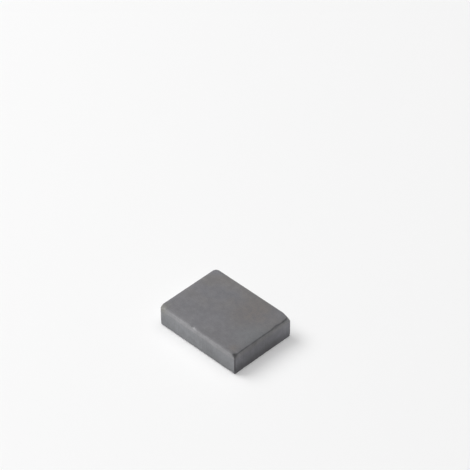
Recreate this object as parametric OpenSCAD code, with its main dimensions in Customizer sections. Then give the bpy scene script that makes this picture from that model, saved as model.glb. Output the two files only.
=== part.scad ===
// Ferrite block magnet: one block, pressed and sintered, and ground flat on its two pole faces.
// The origin is the middle of the lower pole face. X runs along the length, Y across the width and Z up.
// The front is the side at low Y. Sides and corners are counted anticlockwise, as seen from above:
// sides from the right side, and corners from the front right corner, where the right side starts.

/* [Block] */
// Length along X
length = 20; // [14:0.5:60]
// Width along Y
width = 15; // [12:0.5:50]
// Thickness from pole face to pole face
thickness = 5; // [4:0.25:20]

/* [Upright corners] */
// Radius of the upright corner at the front right
front_right_r = 0.25; // [0.25:0.05:2]
// Radius of the upright corner at the back right
back_right_r = 0.25; // [0.25:0.05:2]
// Radius of the upright corner at the back left
back_left_r = 1.1; // [0.25:0.05:2]
// Radius of the upright corner at the front left
front_left_r = 0.25; // [0.25:0.05:2]

/* [Pole face edges] */
// Radius of the rounding along the edge of the upper pole face
upper_edge_r = 0.2; // [0.05:0.05:0.2]
// Radius of the rounding along the edge of the lower pole face
lower_edge_r = 0.2; // [0.05:0.05:0.2]

/* [Worn corners] */
// Length along X that wear has taken at the front right corner of the upper pole face
front_right_worn_x = 0.8; // [0.8:0.1:2.8]
// Length along Y that wear has taken at that corner
front_right_worn_y = 0.8; // [0.8:0.1:2.8]
// Height that wear has taken at that corner
front_right_worn_z = 0.8; // [0.8:0.1:2.5]
// Length along X that wear has taken at the back right corner of the upper pole face
back_right_worn_x = 2.7; // [0.8:0.1:2.8]
// Length along Y that wear has taken at that corner
back_right_worn_y = 0.9; // [0.8:0.1:2.8]
// Height that wear has taken at that corner
back_right_worn_z = 1.2; // [0.8:0.1:2.5]
// Length along X that wear has taken at the front left corner of the upper pole face
front_left_worn_x = 1.2; // [0.8:0.1:2.8]
// Length along Y that wear has taken at that corner
front_left_worn_y = 0.8; // [0.8:0.1:2.8]
// Height that wear has taken at that corner
front_left_worn_z = 0.8; // [0.8:0.1:2.5]
// Radius of the ball that each worn corner follows
wear_ball_r = 8; // [7:0.5:12]

/* [Chipped edges] */
// Place of the chip in the upper edge of the front side, from the middle of that side
front_chip_at = -1; // [-4:0.5:4]
// Length of the chip in the upper edge of the front side
front_chip_length = 1.2; // [0.6:0.1:2]
// Place of the chip in the upper edge of the right side, from the middle of that side
right_chip_at = 3.5; // [-3.5:0.5:3.5]
// Length of the chip in the upper edge of the right side
right_chip_length = 1.2; // [0.6:0.1:2]
// Depth of a chip below the rounded edge
chip_depth = 0.15; // [0.05:0.05:0.3]

/* [Hidden] */
$fn = 96;
block_color = "#77777a";
// How far a cut runs on past the block
cut_past = 1;
// Radius of each upright corner
corner_r = [front_right_r, back_right_r, back_left_r, front_left_r];
// Wear at each corner of the upper pole face: across the side that starts there, along it and down.
// The back left corner is whole.
corner_worn = [
    [front_right_worn_x, front_right_worn_y, front_right_worn_z],
    [back_right_worn_y, back_right_worn_x, back_right_worn_z],
    undef,
    [front_left_worn_y, front_left_worn_x, front_left_worn_z]
];
// Side, place and length of each chip
chips = [[0, right_chip_at, right_chip_length], [3, front_chip_at, front_chip_length]];

// Distance of a side from the middle of the block, and half the length of that side
function reach(side) = (side % 2 == 0 ? length : width) / 2;
function half_run(side) = (side % 2 == 0 ? width : length) / 2;

// Turns to a given side what was drawn for the right side
module turn_to(side) {
    rotate(90 * side) children();
}

// What rounding takes from a square corner: all that lies outside a disc at the origin, at positive X and Y
module rounded_off(r) {
    difference() {
        square(r + cut_past);
        circle(r);
    }
}

// Outline of the block from above
module plan() {
    difference() {
        square([length, width], center = true);
        for (i = [0:3])
            turn_to(i)
                translate([reach(i) - corner_r[i], corner_r[i] - half_run(i)])
                    mirror([0, 1]) rounded_off(corner_r[i]);
    }
}

// Section of what rounding takes from the upper and the lower edge of a side at X = 0
module edge_cut() {
    translate([-upper_edge_r, thickness - upper_edge_r]) rounded_off(upper_edge_r);
    translate([-lower_edge_r, lower_edge_r]) mirror([0, 1]) rounded_off(lower_edge_r);
}

// Rounding of both edges along a side
module side_cut(side) {
    run = half_run(side) + cut_past;
    turn_to(side)
        translate([reach(side), run, 0])
            rotate([90, 0, 0])
                linear_extrude(2 * run) edge_cut();
}

// Rounding of both edges as they follow the radius of an upright corner
module corner_cut(corner) {
    r = corner_r[corner];
    turn_to(corner)
        translate([reach(corner) - r, r - half_run(corner), 0])
            rotate(-90)
                rotate_extrude(angle = 90) translate([r, 0]) edge_cut();
}

// Power of a corner with respect to the ball that meets its three edges at the given lengths: the corner's
// distance from the ball's centre squared, less the ball's radius squared
function ball_power(lengths) =
    let (spread = pow(lengths.x, -2) + pow(lengths.y, -2) + pow(lengths.z, -2))
    (sqrt(1 + spread * (4 * pow(wear_ball_r, 2) - lengths * lengths)) - 1) / spread;

// Depth of that ball's centre below the three faces at the corner
function ball_depth(lengths) = [for (l = lengths) (ball_power(lengths) / l + l) / 2];

// What wear has taken from a corner of the upper pole face: all that stands out of a large ball there
module worn_off(corner) {
    depth = ball_depth(corner_worn[corner]);
    turn_to(corner)
        translate([reach(corner) - depth.x, depth.y - half_run(corner), thickness - depth.z])
            difference() {
                mirror([0, 1, 0]) cube([for (d = depth) d + cut_past]);
                sphere(wear_ball_r);
            }
}

// A shallow round scoop out of the upper edge of a side
module chip(side, at, chip_length) {
    ball_r = (pow(chip_length / 2, 2) + pow(chip_depth, 2)) / (2 * chip_depth);
    edge_inset = upper_edge_r * (1 - sin(45));
    ball_out = (ball_r - chip_depth) * sin(45);
    turn_to(side)
        translate([reach(side) - edge_inset + ball_out, at, thickness - edge_inset + ball_out])
            sphere(ball_r);
}

module magnet_block() {
    color(block_color)
        difference() {
            linear_extrude(thickness) plan();
            for (i = [0:3]) {
                side_cut(i);
                corner_cut(i);
                if (is_list(corner_worn[i])) worn_off(i);
            }
            for (c = chips) chip(c[0], c[1], c[2]);
        }
}

magnet_block();
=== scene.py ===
"""Looks of the ferrite block magnet: its fine surface, its material, and the floor, light and camera."""
import math

import bpy
import numpy as np
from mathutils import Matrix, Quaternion, Vector, noise
from mathutils.bvhtree import BVHTree


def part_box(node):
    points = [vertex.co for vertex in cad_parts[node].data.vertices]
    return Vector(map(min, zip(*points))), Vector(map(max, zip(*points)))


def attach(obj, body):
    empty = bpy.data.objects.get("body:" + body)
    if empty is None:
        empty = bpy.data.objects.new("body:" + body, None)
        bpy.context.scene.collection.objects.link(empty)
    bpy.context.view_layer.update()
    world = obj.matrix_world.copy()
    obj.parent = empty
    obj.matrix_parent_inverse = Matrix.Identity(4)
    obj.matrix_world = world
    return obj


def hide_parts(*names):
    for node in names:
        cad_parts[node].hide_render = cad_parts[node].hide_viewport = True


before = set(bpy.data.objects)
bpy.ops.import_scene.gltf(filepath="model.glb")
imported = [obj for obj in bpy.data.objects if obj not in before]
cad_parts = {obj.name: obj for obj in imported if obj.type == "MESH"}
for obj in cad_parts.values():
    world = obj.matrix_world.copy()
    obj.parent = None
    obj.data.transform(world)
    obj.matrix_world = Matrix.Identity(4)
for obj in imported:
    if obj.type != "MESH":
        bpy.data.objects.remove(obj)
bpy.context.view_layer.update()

MM = 0.001
X, Y, Z = range(3)
NODE = "magnet_block"
PIECE = "ferrite_block"
RANDOM = np.random.default_rng(seed=20)

# Grid that covers the block, and the triangles that are kept of it
GRID_STEP = 0.06 * MM
CORE_INSET = 2.2 * MM
SMOOTHING_ROUNDS = 4
TRIANGLES = 190_000

# Soft crown that wear leaves along the edges of the pole faces, beyond the tight rounding of the solid
CROWN_DEPTH = 0.08 * MM
CROWN_REACH = 1.3 * MM

# Unevenness that pressing and firing leave in the sides, and grinding leaves in the pole faces
SIDE_WAVE = 0.012 * MM
POLE_WAVE = 0.003 * MM
WAVE_LENGTH = 1.3 * MM

# Fine nibbling of the edges
NIBBLE_DEPTH = 0.02 * MM
NIBBLE_LENGTH = 0.28 * MM
NIBBLE_REACH = 0.3 * MM

# Chips: how near an edge they start, how tight it is, their rough floor and the depth of a full break
CHIP_BAND = 0.25 * MM
CHIP_EDGE_R = 0.5 * MM
CHIP_GRAIN = 0.12 * MM
CHIP_ROUGHNESS = 0.35
BROKEN_DEPTH = 0.03 * MM

# Random chips: their number, how common they are on the upper edges, their lengths, with more of the short
# ones at a higher power, and their depths as a share of the length
CHIPS = 70
UPPER_CHIP_SHARE = 0.25
SHORTEST_CHIP = 0.15 * MM
LONGEST_CHIP = 0.95 * MM
SHORT_CHIP_POWER = 3
SHALLOWEST_CHIP = 0.07
DEEPEST_CHIP = 0.15

# Breaks that the photograph shows in the upper edges: place, length and depth in millimetres
CHIPS_IN_VIEW = [
    ((10, 5.8, 5), 1.3, 0.07),
    ((10, 3.9, 5), 0.8, 0.05),
    ((10, 2.8, 5), 0.9, 0.06),
    ((10, 0.3, 5), 0.8, 0.05),
    ((10, -0.7, 5), 0.7, 0.04),
    ((10, -4.3, 5), 0.8, 0.04),
    ((10, -5.4, 5), 0.7, 0.04),
    ((-1, -7.5, 5), 0.7, 0.05),
]

# Colours of the ferrite: pole faces, sides, stains and a rubbed corner
COOL_GREY = (0.127, 0.126, 0.135, 1)
WARM_GREY = (0.134, 0.128, 0.127, 1)
BLUE_GREY = (0.130, 0.133, 0.139, 1)
SIDE_GREY = (0.152, 0.155, 0.163, 1)
# Painted light: a paler, bluer copy of the side grey for the right side, the side in shade
RIGHT_PAINTED_GREY = (0.164, 0.163, 0.179, 1)
# Painted sheen: the grey of the paler band on the sides below the upper edges
BAND_SHEEN_GREY = (0.167, 0.166, 0.171, 1)
STAIN = (0.132, 0.119, 0.112, 1)
RUBBED = (0.137, 0.134, 0.123, 1)

# Where some of these colours lie, and how much of them shows
WARM_RUN = (-5 * MM, 5 * MM)
WARM_SHARE = (0.2, 1)
BLUE_PLACE = (9 * MM, -1 * MM, 5 * MM)
BLUE_REACH = 6 * MM
STAIN_PLACE = (4.5 * MM, 3.5 * MM, 5 * MM)
STAIN_REACH = 6 * MM
SMALL_STAIN_PLACE = (8.5 * MM, -6 * MM, 5 * MM)
SMALL_STAIN_REACH = 1.6 * MM
STAIN_SHARE = (0.4, 0.9)
RUBBED_PLACE = (-9.6 * MM, -7.2 * MM, 4.4 * MM)
RUBBED_REACH = 2.3 * MM
RUBBED_SHARE = (0.5, 1)

# How far a face, an edge or a margin of the pole faces reaches in the material
POLE_REACH = 0.3 * MM
SIDE_REACH = 0.4 * MM
UPPER_REACH = 1 * MM
UPRIGHT_EDGE_REACH = 0.3 * MM
LEVEL_EDGE_REACH = 0.32 * MM
LEFT_MARGIN_REACH = 2 * MM
RIGHT_MARGIN_REACH = 1.6 * MM

# Painted sheen, in a paler band on the sides below the upper edges: the depth down to which it is full, and
# where it ends
BAND_FULL_DEPTH = 1.1 * MM
BAND_DEPTH = 1.35 * MM

# Fine structure: sizes of clouds, grain and lines, and the stretch and turn of the lines
BROAD_SIZE = 5 * MM
MOTTLE_SIZE = 1.2 * MM
GRAIN_SIZE = 0.13 * MM
GROUND_LINE_SIZE = 0.2 * MM
DIE_LINE_SIZE = 0.22 * MM
LINE_STRETCH = 0.06
GROUND_LINE_TURN = math.radians(7)

# Values of the noise over which a look changes, softly or clearly, and the middle of the noise
SOFT_NOISE = (0.3, 0.7)
CLEAR_NOISE = (0.35, 0.65)
NOISE_MIDDLE = 0.5

# Pores: spacing of the cells, which cells have one, and its radius and soft rim as a share of a cell
PORE_SPACING = 0.5 * MM
PORE_PICK = (0.8, 1)
PORE_R = (-0.05, 0.13)
PORE_RIM = 0.03

# Factors on the colour's strength, from low to high noise
GRAIN_FACTOR = (0.9, 1.1)
MOTTLE_FACTOR = (0.92, 1.08)

# Tones, as changes of the colour's strength. A pair runs from left to right, from front to back, from bottom
# to top or from low to high noise.
GROUND_LINE_TONE = 0.25
DIE_LINE_TONE = 0.3
POLE_TONE = (0.07, -0.05)
# Painted shade and light: the sides darker towards the floor and paler towards the top, over the height
# below
SIDE_PAINTED_SHADE = (-0.12, 0.08)
SIDE_PAINTED_SHADE_HEIGHT = 4.5 * MM
SIDE_CLOUD_TONE = (-0.04, 0.04)
FRONT_TONE = (0.06, 0.01)
# Painted light on the right side, paler towards the back, and painted shade at its foot
RIGHT_PAINTED_LIGHT = (-0.03, 0.38)
RIGHT_PAINTED_LIGHT_RUN = (0.5 * MM, 7 * MM)
RIGHT_FOOT_PAINTED_SHADE = (-0.38, 0)
RIGHT_FOOT_HEIGHT = 3.2 * MM
# Painted sheen in the paler band below the upper edges, stronger on the front
BAND_PAINTED_SHEEN = 0.03
FRONT_BAND_PAINTED_SHEEN = 0.1
# Painted shade along the level edges, a little less on the front's upper edge, and along the upright edges,
# darkest on the right
LEVEL_EDGE_PAINTED_SHADE = -0.3
FRONT_UPPER_EDGE_PAINTED_SHADE = -0.22
UPRIGHT_EDGE_PAINTED_SHADE = (-0.2, -0.85)
UPRIGHT_EDGE_RUN = (-1 * MM, 1 * MM)
# Painted light at the left margin of the pole faces, and painted shade at the right margin
LEFT_MARGIN_PAINTED_LIGHT = 0.08
RIGHT_MARGIN_PAINTED_SHADE = -0.16
# Breaks a little darker; painted shade makes those in the upper edges darker still, and a painted highlight
# makes those in the front paler
BREAK_TONE = -0.1
UPPER_BREAK_PAINTED_SHADE = -0.35
FRONT_BREAK_PAINTED_HIGHLIGHT = 0.1
# Painted shade in the pores
PORE_PAINTED_SHADE = -0.3

# Marks, and painted light and shade, around a point: place and reach in millimetres, and tone
MARKS_AND_PAINTED_LIGHT = [
    # Painted shade in the broken front right corner, and on the end of the front's upper edge there
    ((9.8, -7.3, 4.8), 0.85, -0.95),
    ((9, -7.3, 5), 0.9, -0.2),
    ((7.6, -7.2, 5), 0.8, -0.12),
    # Painted highlight on a nick in the upper edge of the front
    ((-1, -7.35, 4.85), 0.37, 0.8),
    # Darker and paler patches on the upper pole face
    ((3, 3.5, 5), 7, -0.08),
    ((-7.5, 3.5, 5), 3.5, -0.06),
    ((-3.2, 3.2, 5), 2.5, -0.06),
    ((0.7, -4.6, 5), 3, 0.09),
    # Paler and darker patches on the front
    ((-3, -7.5, 2.8), 5, 0.1),
    ((2.2, -7.5, 3), 2.8, -0.09),
    # Painted shade along the foot of the front
    ((4, -7.5, 0.3), 3.2, -0.18),
    ((7, -7.5, 0.2), 2.6, -0.12),
    # Painted light: paler patches on the right side
    ((10, -6.3, 4), 1.6, 0.3),
    ((10, -6.8, 2.4), 1.6, 0.14),
    ((10, 6.2, 1.2), 4, 0.16),
    # Painted shade in breaks in the upper edge of the right side
    ((10, 5.6, 4.9), 0.7, -0.3),
    ((10, 3.5, 4.9), 0.8, -0.3),
    ((10, -2, 4.95), 1.2, -0.2),
    ((10, -5.8, 4.95), 0.9, -0.12),
]

# Roughness of the surface, and what a break adds to it
ROUGHNESS = (0.57, 0.61)
BREAK_ROUGHNESS = 0.14

# Relief: lines and pores beside the grain, and the strength and depth of it all
GROUND_LINE_RELIEF = 0.5
PORE_RELIEF = -1.5
RELIEF_STRENGTH = 0.6
RELIEF_DEPTH = 0.012 * MM

# Gap between the islands of the texture layout
ISLAND_GAP = 0.6 * MM

# Floor and backdrop
FLOOR_WIDTH = 6.0
FLOOR_COLOUR = (0.92, 0.92, 0.92, 1)
BACKDROP_COLOUR = (0.94, 0.94, 0.94, 1)

# Light from all round
SOFT_LIGHT_COLOUR = (1, 1, 1, 1)
SOFT_LIGHT = 0.05

# Lamps, which face the block: name, azimuth and elevation in degrees, width in metres, power in watts, and
# whether the lamp casts a shadow
LAMP_DISTANCE = 2.0
LAMPS = [
    ("key", -69.2, 52.6, 1.41, 21.7, True),
    ("fill", -33.4, 22.4, 2.1, 34.7, False),
    ("top", 168.3, 82.4, 2.12, 15.9, True),
]

# Camera, as fitted to the photograph
VIEW_AZIMUTH = math.radians(45.29)
VIEW_ELEVATION = math.radians(40.84)
VIEW_ROLL = math.radians(-0.57)
VIEW_DISTANCE = 527.3 * MM
VIEW_AIM = Vector((-18.24, 20.87, 0)) * MM
VIEW_LENS = 203.9
VIEW_NEAREST = 10 * MM


def unit(vectors):
    return vectors / np.linalg.norm(vectors, axis=1, keepdims=True)


def noise_at(points, length):
    """Smooth noise between about -1 and 1 at each point, with waves of the given length."""
    return np.array([noise.noise(Vector(p)) for p in points / length])


def surface_grid(low, high):
    """Points and quads of an even grid over the six sides of a box, closed at the edges."""
    lines = [np.linspace(a, b, round((b - a) / GRID_STEP) + 1) for a, b in zip(low, high)]
    skin = np.ones([len(line) for line in lines], bool)
    skin[1:-1, 1:-1, 1:-1] = False
    number = np.full(skin.shape, -1)
    number[skin] = np.arange(skin.sum())
    points = np.stack([line[i] for line, i in zip(lines, np.nonzero(skin))], axis=1)
    quads = []
    for axis in (X, Y, Z):
        for end in (0, -1):
            sheet = np.take(number, end, axis=axis)
            corners = [sheet[:-1, :-1], sheet[1:, :-1], sheet[1:, 1:], sheet[:-1, 1:]]
            side = np.stack(corners, axis=-1).reshape(-1, 4)
            inside_out = (end == 0) != (axis == Y)
            quads.append(side[:, ::-1] if inside_out else side)
    return points, np.concatenate(quads)


def on_the_solid(points, core):
    """Moves points of the box on to the solid, along lines from the core inside it."""
    solid = BVHTree.FromObject(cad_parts[NODE], bpy.context.evaluated_depsgraph_get())
    hits = [solid.ray_cast(Vector(a), Vector(b - a))[0] for a, b in zip(core, points)]
    return np.array(hits)


def smoothed(points, quads):
    """Takes the facets of the solid's own mesh out of its round edges."""
    pairs = np.concatenate([quads[:, [i, (i + 1) % 4]] for i in range(4)])
    pairs = np.unique(np.sort(pairs, axis=1), axis=0)
    ends = np.concatenate([pairs[:, 0], pairs[:, 1]])
    others = np.concatenate([pairs[:, 1], pairs[:, 0]])
    count = np.bincount(ends, minlength=len(points))[:, None]
    for _ in range(SMOOTHING_ROUNDS):
        sums = [np.bincount(ends, points[others, axis], len(points)) for axis in (X, Y, Z)]
        points = (points + np.stack(sums, axis=1) / count) / 2
    return points


def chip_off(points, core, at, length, depth):
    """Breaks a rough, round flake out of the surface around one of its points."""
    outward = unit((points - core)[at:at + 1])[0]
    ball_r = (length ** 2 / 4 + depth ** 2) / (2 * depth)
    centre = points[at] + outward * (ball_r - depth)
    reach = ball_r + CHIP_ROUGHNESS * depth
    near = np.nonzero(np.linalg.norm(points - centre, axis=1) < reach)[0]
    offset = points[near] - centre
    radius = ball_r + CHIP_ROUGHNESS * depth * noise_at(points[near], CHIP_GRAIN)
    inward = unit(core[near] - points[near])
    along = (offset * inward).sum(axis=1)
    room = radius ** 2 - (offset ** 2).sum(axis=1)
    travel = np.sqrt(np.maximum(along ** 2 + room, 0)) - along
    points[near] += inward * np.where(room > 0, travel, 0)[:, None]


def chip_edges(points, box_points, core, gaps):
    """Breaks chips out of the tight edges at random, and then where the photograph shows breaks."""
    nearest = np.argsort(gaps, axis=1)
    upper = (nearest[:, :2] == Z).any(axis=1) & (box_points[:, Z] > box_points[:, Z].mean())
    weight = np.where(upper, UPPER_CHIP_SHARE, 1.0)
    weight[np.sort(gaps, axis=1)[:, 1] > CHIP_BAND] = 0
    weight[np.linalg.norm(points - box_points, axis=1) > CHIP_EDGE_R * (math.sqrt(2) - 1)] = 0
    weight /= weight.sum()
    for at in RANDOM.choice(len(points), CHIPS, p=weight):
        length = SHORTEST_CHIP + (LONGEST_CHIP - SHORTEST_CHIP) * RANDOM.random() ** SHORT_CHIP_POWER
        chip_off(points, core, at, length, length * RANDOM.uniform(SHALLOWEST_CHIP, DEEPEST_CHIP))
    for place, length, depth in CHIPS_IN_VIEW:
        at = np.argmin(np.linalg.norm(box_points - np.array(place) * MM, axis=1))
        chip_off(points, core, at, length * MM, depth * MM)


def thinned(mesh):
    """The same surface with fewer triangles, kept small where it bends."""
    draft = bpy.data.objects.new("draft", mesh)
    bpy.context.scene.collection.objects.link(draft)
    thinning = draft.modifiers.new("thinning", "DECIMATE")
    thinning.ratio = TRIANGLES / (2 * len(mesh.polygons))
    thinning.use_collapse_triangulate = True
    scene_now = bpy.context.evaluated_depsgraph_get()
    result = bpy.data.meshes.new_from_object(
        draft.evaluated_get(scene_now), preserve_all_data_layers=True, depsgraph=scene_now)
    bpy.data.objects.remove(draft)
    bpy.data.meshes.remove(mesh)
    return result


def lay_out(mesh, low, high):
    """Texture layout: one flat island for each of the six sides."""
    length, width, height = high - low
    gap = ISLAND_GAP
    side = length + width + 3 * gap
    column = length + 2 * gap
    row = length + 2 * gap
    # For the low (0) and high (1) side of each axis: the axes that run across and up its island, and where
    # the island starts
    islands = {
        (Z, 1): (X, Y, gap, gap),
        (Z, 0): (X, Y, gap, width + 2 * gap),
        (Y, 0): (Z, X, column, gap),
        (Y, 1): (Z, X, column + height + gap, gap),
        (X, 0): (Z, Y, column, row),
        (X, 1): (Z, Y, column + height + gap, row),
    }
    points = np.empty(len(mesh.vertices) * 3)
    mesh.vertices.foreach_get("co", points)
    points = points.reshape(-1, 3)
    corners = np.empty(len(mesh.loops), int)
    mesh.loops.foreach_get("vertex_index", corners)
    triangles = corners.reshape(-1, 3)
    middles = points[triangles].mean(axis=1)
    gaps = np.concatenate([middles - low, high - middles], axis=1)
    nearest = gaps.argmin(axis=1)
    layout = np.zeros((len(triangles), 3, 2))
    for (axis, end), (across, up, left, bottom) in islands.items():
        own = nearest == axis + 3 * end
        corner_points = points[triangles[own]] - low
        layout[own, :, 0] = corner_points[:, :, across] + left
        layout[own, :, 1] = corner_points[:, :, up] + bottom
    layer = mesh.uv_layers.new(name="OFBake")
    layer.uv.foreach_set("vector", (layout / side).ravel())


def make_block(low, high):
    """The block in fine detail, which takes the place of the plain solid."""
    box_points, quads = surface_grid(low, high)
    core = np.clip(box_points, low + CORE_INSET, high - CORE_INSET)
    points = smoothed(on_the_solid(box_points, core), quads)
    whole = points.copy()

    gaps = np.minimum(box_points - low, high - box_points)
    edge_gap = np.sort(gaps, axis=1)[:, 1]
    on_pole = gaps.argmin(axis=1) == Z
    inward = unit(core - points)
    pole_gap = np.where(on_pole, edge_gap, gaps[:, Z])
    crown = CROWN_DEPTH * np.clip(1 - pole_gap / CROWN_REACH, 0, 1) ** 2
    wave = np.where(on_pole, POLE_WAVE, SIDE_WAVE) * (0.5 + noise_at(points, WAVE_LENGTH) / 2)
    near_edge = np.exp(-(edge_gap / NIBBLE_REACH) ** 2)
    nibble = NIBBLE_DEPTH * near_edge * np.clip(noise_at(points, NIBBLE_LENGTH), 0, 1)
    points += inward * (crown + wave + nibble)[:, None]
    worn = np.linalg.norm(points - whole, axis=1)
    chip_edges(points, box_points, core, gaps)
    broken = np.linalg.norm(points - whole, axis=1) - worn

    mesh = bpy.data.meshes.new(PIECE)
    mesh.from_pydata(points.tolist(), [], quads.tolist())
    break_mark = mesh.attributes.new("broken", "FLOAT", "POINT")
    break_mark.data.foreach_set("value", np.clip(broken / BROKEN_DEPTH, 0, 1))
    mesh = thinned(mesh)
    mesh.name = PIECE
    kept = np.empty(len(mesh.vertices) * 3)
    mesh.vertices.foreach_get("co", kept)
    mesh.vertices.foreach_set("co", np.clip(kept.reshape(-1, 3), low, high).ravel())
    lay_out(mesh, low, high)
    mesh.shade_smooth()

    block = bpy.data.objects.new(PIECE, mesh)
    bpy.context.scene.collection.objects.link(block)
    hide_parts(NODE)
    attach(block, "root")
    return block


def add(tree, kind, inputs, **settings):
    """Adds a node. Each input takes a value, or another node's output."""
    node = tree.nodes.new(kind)
    for name, value in settings.items():
        setattr(node, name, value)
    for name, value in inputs.items():
        if isinstance(value, bpy.types.NodeSocket):
            tree.links.new(value, node.inputs[name])
        else:
            node.inputs[name].default_value = value
    return node


def ferrite(low, high):
    """Matte sintered ferrite: ground pole faces, as-fired sides and granular breaks, with painted light and
    shade.
    """
    material = bpy.data.materials.new("ferrite")
    material.use_nodes = True
    tree = material.node_tree
    place = add(tree, "ShaderNodeTexCoord", {}).outputs["Object"]

    def calc(operation, *values):
        return add(tree, "ShaderNodeMath", dict(enumerate(values)), operation=operation).outputs[0]

    def times(one, other):
        return calc("MULTIPLY", one, other)

    def spread(value, start, end, first, last):
        """Runs smoothly from first to last, while a value runs from start to end."""
        inputs = {"Value": value, "From Min": start, "From Max": end, "To Min": first, "To Max": last}
        return add(tree, "ShaderNodeMapRange", inputs, interpolation_type="SMOOTHSTEP").outputs[0]

    def near(gap, reach):
        return spread(gap, 0, reach, 1, 0)

    def around(centre, reach):
        inputs = {0: place, 1: centre}
        gap = add(tree, "ShaderNodeVectorMath", inputs, operation="DISTANCE").outputs["Value"]
        return near(gap, reach)

    def cloud(size, detail, stretch=(1, 1, 1), turn=0):
        """Noise with features of the given size."""
        inputs = {"Vector": place, "Scale": stretch, "Rotation": (0, 0, turn)}
        where = add(tree, "ShaderNodeMapping", inputs).outputs[0]
        inputs = {"Vector": where, "Scale": 1 / size, "Detail": detail}
        return add(tree, "ShaderNodeTexNoise", inputs).outputs[0]

    def blend(share, one, other):
        return add(tree, "ShaderNodeMix", {0: share, 6: one, 7: other}, data_type="RGBA").outputs[2]

    def tone(shade, change, strength=1):
        return times(shade, calc("MULTIPLY_ADD", change, strength, 1))

    # Where on the block: gaps to its faces, and what they say of its sides and edges
    x, y, z = add(tree, "ShaderNodeSeparateXYZ", {0: place}).outputs
    front_gap = calc("SUBTRACT", y, low[Y])
    right_gap = calc("SUBTRACT", high[X], x)
    upper_gap = calc("SUBTRACT", high[Z], z)
    left_gap = calc("SUBTRACT", x, low[X])
    across_gap = calc("MINIMUM", right_gap, left_gap)
    along_gap = calc("MINIMUM", front_gap, calc("SUBTRACT", high[Y], y))
    pole_gap = calc("MINIMUM", upper_gap, calc("SUBTRACT", z, low[Z]))
    side_gap = calc("MINIMUM", across_gap, along_gap)
    pole = near(pole_gap, POLE_REACH)
    side = calc("SUBTRACT", 1, pole)
    front = near(front_gap, SIDE_REACH)
    right = near(right_gap, SIDE_REACH)
    upper = near(upper_gap, UPPER_REACH)
    upright_edge = near(calc("MAXIMUM", across_gap, along_gap), UPRIGHT_EDGE_REACH)
    level_edge = near(calc("MAXIMUM", pole_gap, side_gap), LEVEL_EDGE_REACH)
    upper_edge = times(level_edge, upper)
    front_upper = times(front, upper)
    left_margin = times(pole, near(left_gap, LEFT_MARGIN_REACH))
    right_margin = times(pole, near(right_gap, RIGHT_MARGIN_REACH))
    band = times(side, spread(upper_gap, BAND_FULL_DEPTH, BAND_DEPTH, 1, 0))
    broken = add(tree, "ShaderNodeAttribute", {}, attribute_name="broken").outputs["Fac"]

    # Fine structure
    broad = cloud(BROAD_SIZE, detail=2)
    mottle = cloud(MOTTLE_SIZE, detail=4)
    grain = cloud(GRAIN_SIZE, detail=2)
    ground_lines = cloud(GROUND_LINE_SIZE, detail=3, stretch=(LINE_STRETCH, 1, 1), turn=GROUND_LINE_TURN)
    die_lines = cloud(DIE_LINE_SIZE, detail=2, stretch=(1, 1, LINE_STRETCH))
    cells = add(tree, "ShaderNodeTexVoronoi", {"Vector": place, "Scale": 1 / PORE_SPACING})
    pick = add(tree, "ShaderNodeSeparateColor", {0: cells.outputs["Color"]}).outputs[0]
    pore_gap = calc("SUBTRACT", cells.outputs["Distance"], spread(pick, *PORE_PICK, *PORE_R))
    pore = spread(pore_gap, -PORE_RIM, PORE_RIM, 1, 0)

    # Colour
    large_stain = around(STAIN_PLACE, STAIN_REACH)
    small_stain = around(SMALL_STAIN_PLACE, SMALL_STAIN_REACH)
    stain = times(calc("MAXIMUM", large_stain, small_stain), spread(mottle, *SOFT_NOISE, *STAIN_SHARE))
    rubbed = times(around(RUBBED_PLACE, RUBBED_REACH), spread(mottle, *CLEAR_NOISE, *RUBBED_SHARE))
    warm = times(spread(broad, *CLEAR_NOISE, 0, 1), spread(y, *WARM_RUN, *WARM_SHARE))
    pole_tint = blend(warm, COOL_GREY, WARM_GREY)
    pole_tint = blend(around(BLUE_PLACE, BLUE_REACH), pole_tint, BLUE_GREY)
    pole_tint = blend(stain, pole_tint, STAIN)
    # The right side's grey is painted light, and the grey below the upper edges painted sheen
    side_tint = blend(band, blend(right, SIDE_GREY, RIGHT_PAINTED_GREY), BAND_SHEEN_GREY)
    tint = blend(rubbed, blend(side, pole_tint, side_tint), RUBBED)

    # Strength of the colour
    shade = times(spread(grain, *SOFT_NOISE, *GRAIN_FACTOR), spread(mottle, *SOFT_NOISE, *MOTTLE_FACTOR))
    shade = tone(shade, times(pole, calc("SUBTRACT", ground_lines, NOISE_MIDDLE)), GROUND_LINE_TONE)
    shade = tone(shade, times(side, calc("SUBTRACT", die_lines, NOISE_MIDDLE)), DIE_LINE_TONE)
    shade = tone(shade, times(pole, spread(x, low[X], high[X], *POLE_TONE)))
    # Painted shade and light: the sides darker towards the floor and paler towards the top
    shade = tone(shade, times(side, spread(z, 0, SIDE_PAINTED_SHADE_HEIGHT, *SIDE_PAINTED_SHADE)))
    shade = tone(shade, times(side, spread(broad, *CLEAR_NOISE, *SIDE_CLOUD_TONE)))
    shade = tone(shade, times(front, spread(x, low[X], high[X], *FRONT_TONE)), side)
    # Painted light on the right side, paler towards the back, and painted shade at its foot
    shade = tone(shade, times(right, spread(y, *RIGHT_PAINTED_LIGHT_RUN, *RIGHT_PAINTED_LIGHT)), side)
    shade = tone(shade, times(right, spread(z, 0, RIGHT_FOOT_HEIGHT, *RIGHT_FOOT_PAINTED_SHADE)), side)
    # Painted sheen in the paler band below the upper edges
    shade = tone(shade, band, spread(front, 0, 1, BAND_PAINTED_SHEEN, FRONT_BAND_PAINTED_SHEEN))
    # Painted shade along the level edges, a little less on the front's upper edge
    shade = tone(shade, level_edge, spread(front_upper, 0, 1, LEVEL_EDGE_PAINTED_SHADE, FRONT_UPPER_EDGE_PAINTED_SHADE))
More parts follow.
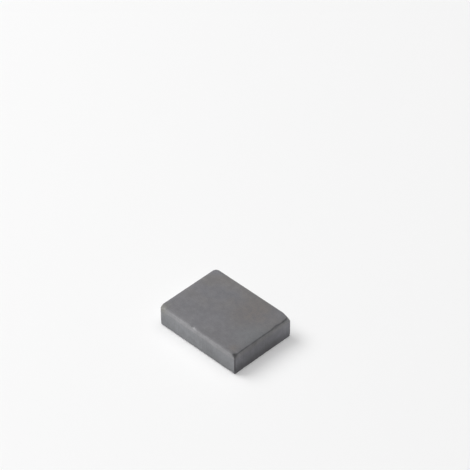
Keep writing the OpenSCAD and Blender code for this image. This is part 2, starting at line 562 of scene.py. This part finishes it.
    # Painted light at the left margin of the pole faces, and painted shade at the right margin
    shade = tone(shade, left_margin, LEFT_MARGIN_PAINTED_LIGHT)
    shade = tone(shade, right_margin, RIGHT_MARGIN_PAINTED_SHADE)
    # Painted shade along the upright edges, darkest on the right
    shade = tone(shade, upright_edge, spread(x, *UPRIGHT_EDGE_RUN, *UPRIGHT_EDGE_PAINTED_SHADE))
    # Marks, and painted shade, light and highlights, around points
    for centre, reach, change in MARKS_AND_PAINTED_LIGHT:
        shade = tone(shade, around([c * MM for c in centre], reach * MM), change)
    # Breaks a little darker, with painted shade in the upper edges and a painted highlight in the front
    break_tone_and_shade = spread(upper_edge, 0, 1, BREAK_TONE, UPPER_BREAK_PAINTED_SHADE)
    shade = tone(shade, broken, spread(front, 0, 1, break_tone_and_shade, FRONT_BREAK_PAINTED_HIGHLIGHT))
    # Painted shade in the pores
    shade = tone(shade, pore, PORE_PAINTED_SHADE)
    colour = add(tree, "ShaderNodeVectorMath", {0: tint, "Scale": shade}, operation="SCALE").outputs[0]

    # Roughness and relief
    roughness = calc("MULTIPLY_ADD", broken, BREAK_ROUGHNESS, spread(mottle, *SOFT_NOISE, *ROUGHNESS))
    relief = calc("MULTIPLY_ADD", times(ground_lines, pole), GROUND_LINE_RELIEF, grain)
    relief = calc("MULTIPLY_ADD", pore, PORE_RELIEF, relief)
    inputs = {"Strength": RELIEF_STRENGTH, "Distance": RELIEF_DEPTH, "Height": relief}
    bump = add(tree, "ShaderNodeBump", inputs).outputs[0]

    shader = tree.nodes["Principled BSDF"]
    tree.links.new(colour, shader.inputs["Base Color"])
    tree.links.new(roughness, shader.inputs["Roughness"])
    tree.links.new(bump, shader.inputs["Normal"])
    return material


def floor_material():
    material = bpy.data.materials.new("floor")
    material.use_nodes = True
    shader = material.node_tree.nodes["Principled BSDF"]
    shader.inputs["Base Color"].default_value = FLOOR_COLOUR
    shader.inputs["Roughness"].default_value = 1
    shader.inputs["Specular IOR Level"].default_value = 0
    return material


def make_floor():
    half = FLOOR_WIDTH / 2
    corners = [(-half, -half, 0), (half, -half, 0), (half, half, 0), (-half, half, 0)]
    mesh = bpy.data.meshes.new("floor")
    mesh.from_pydata(corners, [], [(0, 1, 2, 3)])
    mesh.materials.append(floor_material())
    floor = bpy.data.objects.new("floor", mesh)
    bpy.context.scene.collection.objects.link(floor)


def direction(azimuth, elevation):
    """Direction from the block to a lamp or the camera. Azimuth runs from the front to the right."""
    level = math.cos(elevation)
    return Vector((math.sin(azimuth) * level, -math.cos(azimuth) * level, math.sin(elevation)))


def make_lamp(name, azimuth, elevation, width, power, casts_shadow):
    light = bpy.data.lights.new(name, "AREA")
    light.shape = "DISK"
    light.size = width
    light.energy = power
    light.use_shadow = casts_shadow
    lamp = bpy.data.objects.new(name, light)
    towards = direction(math.radians(azimuth), math.radians(elevation))
    lamp.location = towards * LAMP_DISTANCE
    lamp.rotation_mode = "QUATERNION"
    lamp.rotation_quaternion = towards.to_track_quat("Z", "Y")
    bpy.context.scene.collection.objects.link(lamp)


def make_world():
    """Soft light from all round, and a pale backdrop wherever the world itself is seen or mirrored."""
    world = bpy.data.worlds.new("studio")
    world.use_nodes = True
    tree = world.node_tree
    soft_light = tree.nodes["Background"]
    soft_light.inputs["Color"].default_value = SOFT_LIGHT_COLOUR
    soft_light.inputs["Strength"].default_value = SOFT_LIGHT
    backdrop = add(tree, "ShaderNodeBackground", {"Color": BACKDROP_COLOUR, "Strength": 1})
    path = add(tree, "ShaderNodeLightPath", {}).outputs
    seen = path["Is Camera Ray"]
    for name in ("Is Glossy Ray", "Is Transmission Ray"):
        seen = add(tree, "ShaderNodeMath", {0: seen, 1: path[name]}, operation="MAXIMUM").outputs[0]
    choice = add(tree, "ShaderNodeMixShader", {0: seen, 1: soft_light.outputs[0], 2: backdrop.outputs[0]})
    tree.links.new(choice.outputs[0], tree.nodes["World Output"].inputs["Surface"])
    bpy.context.scene.world = world


def make_camera():
    camera = bpy.data.cameras.new("view")
    camera.lens = VIEW_LENS
    camera.clip_start = VIEW_NEAREST
    back = direction(VIEW_AZIMUTH, VIEW_ELEVATION)
    viewer = bpy.data.objects.new("view", camera)
    viewer.location = VIEW_AIM + back * VIEW_DISTANCE
    viewer.rotation_mode = "QUATERNION"
    viewer.rotation_quaternion = back.to_track_quat("Z", "Y") @ Quaternion((0, 0, 1), VIEW_ROLL)
    bpy.context.scene.collection.objects.link(viewer)
    bpy.context.scene.camera = viewer


block_low, block_high = (np.array(corner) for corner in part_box(NODE))
block = make_block(block_low, block_high)
block.data.materials.append(ferrite(block_low, block_high))
make_floor()
for lamp_facts in LAMPS:
    make_lamp(*lamp_facts)
make_world()
make_camera()
bpy.context.scene.view_settings.view_transform = "Standard"
